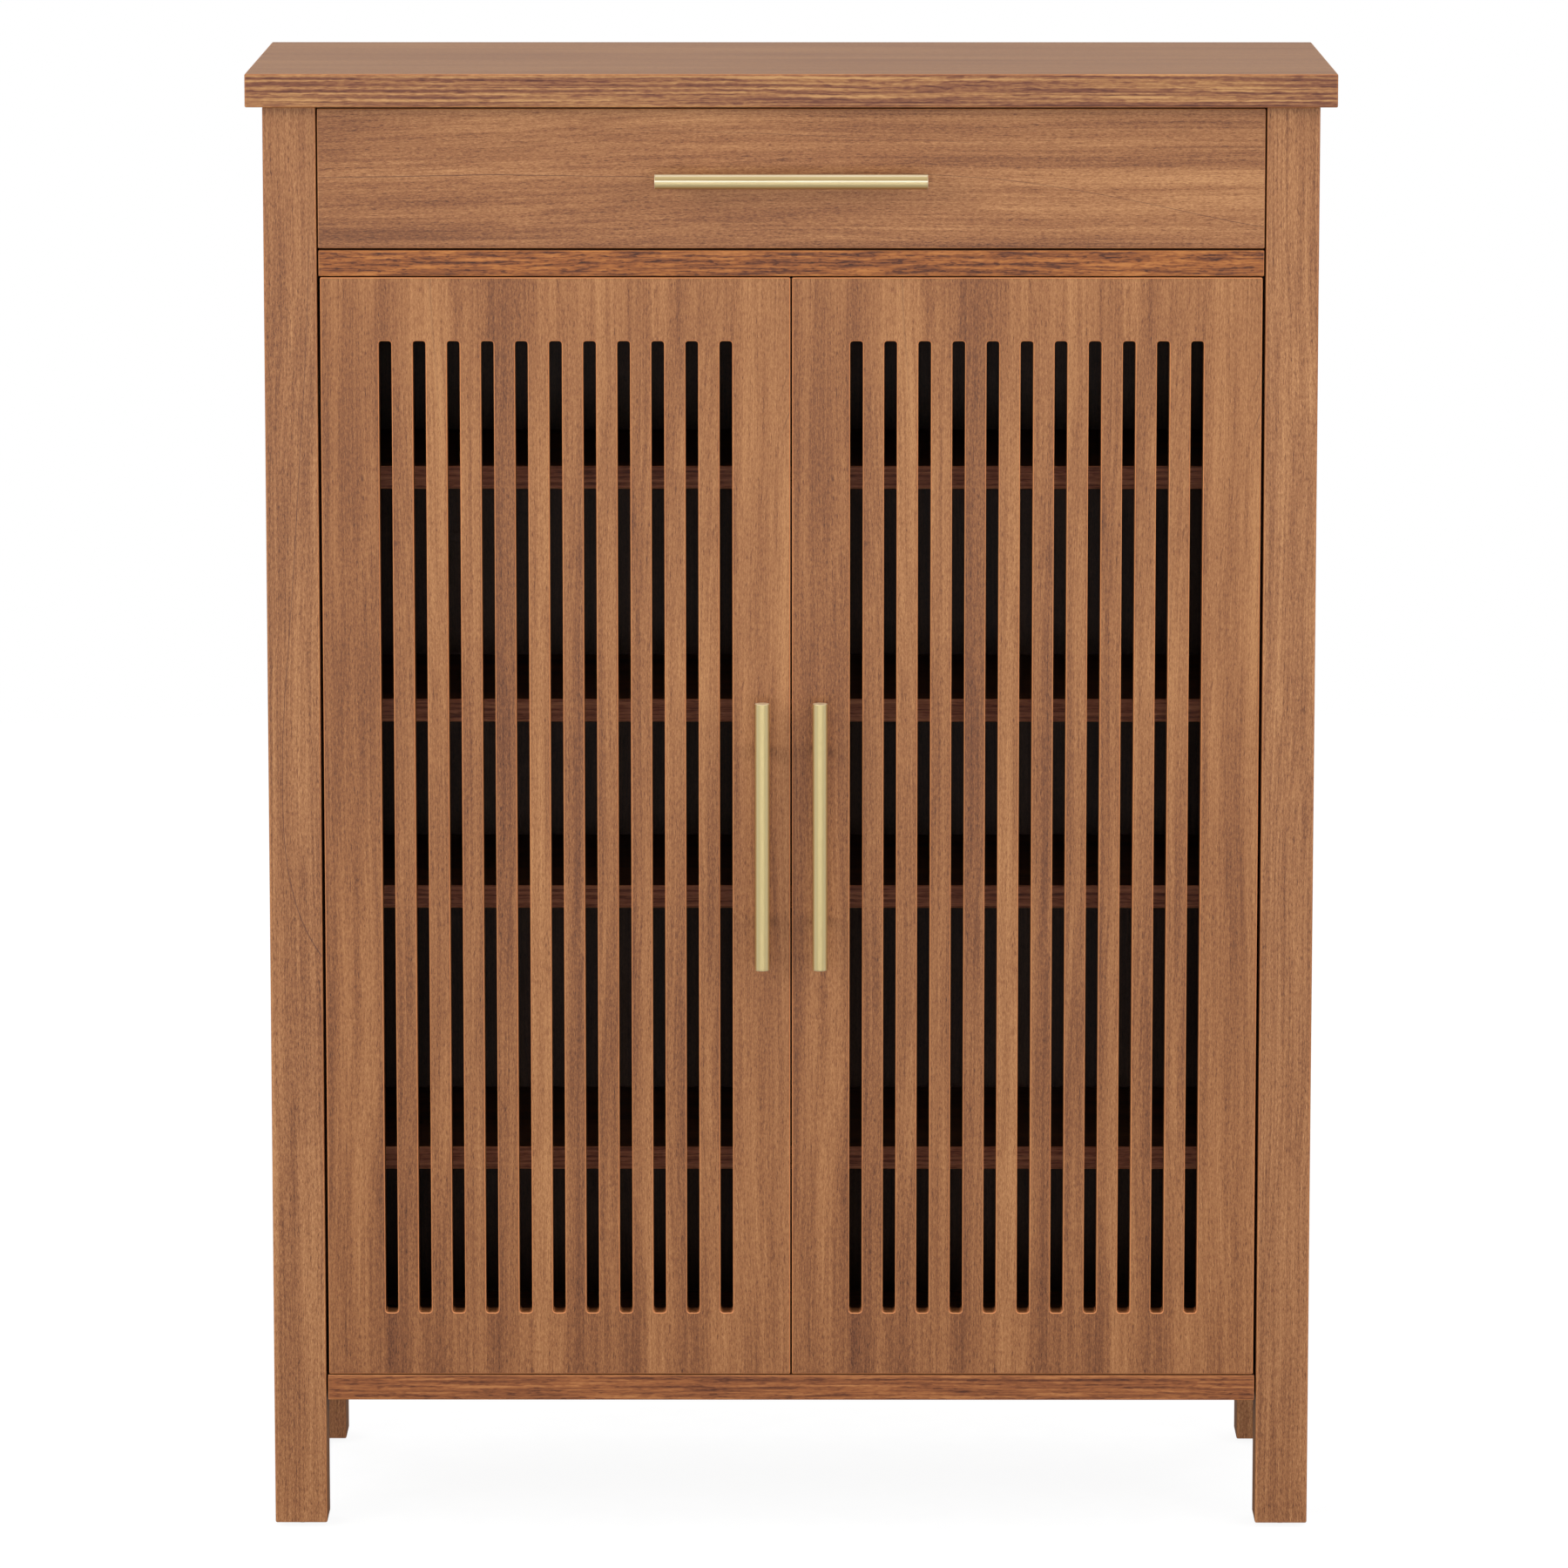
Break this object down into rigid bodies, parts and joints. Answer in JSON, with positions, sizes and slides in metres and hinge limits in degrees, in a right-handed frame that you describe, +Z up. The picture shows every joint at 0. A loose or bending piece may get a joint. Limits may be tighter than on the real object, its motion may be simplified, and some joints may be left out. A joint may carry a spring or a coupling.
{
  "type": "shoe cabinet",
  "caption": "Tall shoe cabinet on square legs, with a drawer over two vertically slotted inset doors, bar handles and open shelves inside.",
  "frame": {"origin": "on the floor, at the centre of the box that holds the whole object with its handles", "axes": "+Z up, the doors and the drawer face -Y, +X to the right as seen from the front"},
  "size_m": [0.8, 0.3496, 1.094],
  "materials": {
    "walnut_laminate": "matt printed walnut laminate with fine grain and eased edges",
    "walnut_edge_band": "walnut laminate board with a redder, coarser edge band",
    "walnut_back_board": "thin back board faced in dull walnut paper",
    "drawer_board": "plain matt brown drawer board",
    "satin_brass": "satin, fine lengthwise brushing",
    "nickel_plate": "nickel-plated pressed steel",
    "zinc_steel": "zinc-plated rolled steel",
    "black_plastic": "fine moulded texture",
    "brown_plastic": "moulded, slightly glossy"
  },
  "bodies": {
    "cabinet": {"top_panel": "walnut_laminate", "front_post_left": "walnut_laminate", "glide_front_left": "black_plastic", "front_post_right": "walnut_laminate", "glide_front_right": "black_plastic", "rear_post_left": "walnut_laminate", "glide_rear_left": "black_plastic", "rear_post_right": "walnut_laminate", "glide_rear_right": "black_plastic", "side_panel_left": "walnut_laminate", "side_panel_right": "walnut_laminate", "bottom_board": "walnut_edge_band", "divider_board": "walnut_edge_band", "rear_rail": "walnut_laminate", "back_panel": "walnut_back_board", "shelf_1": "walnut_laminate", "shelf_2": "walnut_laminate", "shelf_3": "walnut_laminate", "shelf_4": "walnut_laminate", "wall_bracket": "zinc_steel", "slide_outer_left": "zinc_steel", "magnet_catch_left": "brown_plastic", "hinge_arm_left_lower": "nickel_plate", "hinge_arm_left_upper": "nickel_plate", "slide_outer_right": "zinc_steel", "magnet_catch_right": "brown_plastic", "hinge_arm_right_lower": "nickel_plate", "hinge_arm_right_upper": "nickel_plate"},
    "door_left": {"door_left_panel": "walnut_laminate", "door_left_handle_bar": "satin_brass", "door_left_handle_post_lower": "satin_brass", "door_left_hinge_cup_lower": "nickel_plate", "door_left_hinge_pin_lower": "nickel_plate", "door_left_handle_post_upper": "satin_brass", "door_left_hinge_cup_upper": "nickel_plate", "door_left_hinge_pin_upper": "nickel_plate", "door_left_strike_plate": "zinc_steel"},
    "door_right": {"door_right_panel": "walnut_laminate", "door_right_handle_bar": "satin_brass", "door_right_handle_post_lower": "satin_brass", "door_right_hinge_cup_lower": "nickel_plate", "door_right_hinge_pin_lower": "nickel_plate", "door_right_handle_post_upper": "satin_brass", "door_right_hinge_cup_upper": "nickel_plate", "door_right_hinge_pin_upper": "nickel_plate", "door_right_strike_plate": "zinc_steel"},
    "slide_middles": {"slide_middle_left": "zinc_steel", "slide_middle_right": "zinc_steel"},
    "drawer": {"drawer_front": "walnut_laminate", "drawer_handle_bar": "satin_brass", "drawer_handle_post_left": "satin_brass", "drawer_side_left": "drawer_board", "drawer_slide_left": "zinc_steel", "drawer_handle_post_right": "satin_brass", "drawer_side_right": "drawer_board", "drawer_slide_right": "zinc_steel", "drawer_back": "drawer_board", "drawer_bottom": "drawer_board"}
  },
  "joints": [
    {"name": "door_left_swing", "type": "hinge", "parent": "cabinet", "child": "door_left", "pos_m": [-0.327, -0.13425, 0.53075], "axis": [0, 0, -1], "range_deg": [0, 100]},
    {"name": "door_right_swing", "type": "hinge", "parent": "cabinet", "child": "door_right", "pos_m": [0.327, -0.13425, 0.53075], "axis": [0, 0, 1], "range_deg": [0, 100]},
    {"name": "drawer_travel", "type": "slide", "parent": "cabinet", "child": "drawer", "axis": [0, -1, 0], "range_m": [0, 0.25]},
    {"name": "slide_middle_travel", "type": "slide", "parent": "cabinet", "child": "slide_middles", "axis": [0, -1, 0], "range_m": [0, 0.125]}
  ],
  "couplings": [
    {"joint": "slide_middle_travel", "follows": "drawer_travel", "ratio": 0.5}
  ]
}
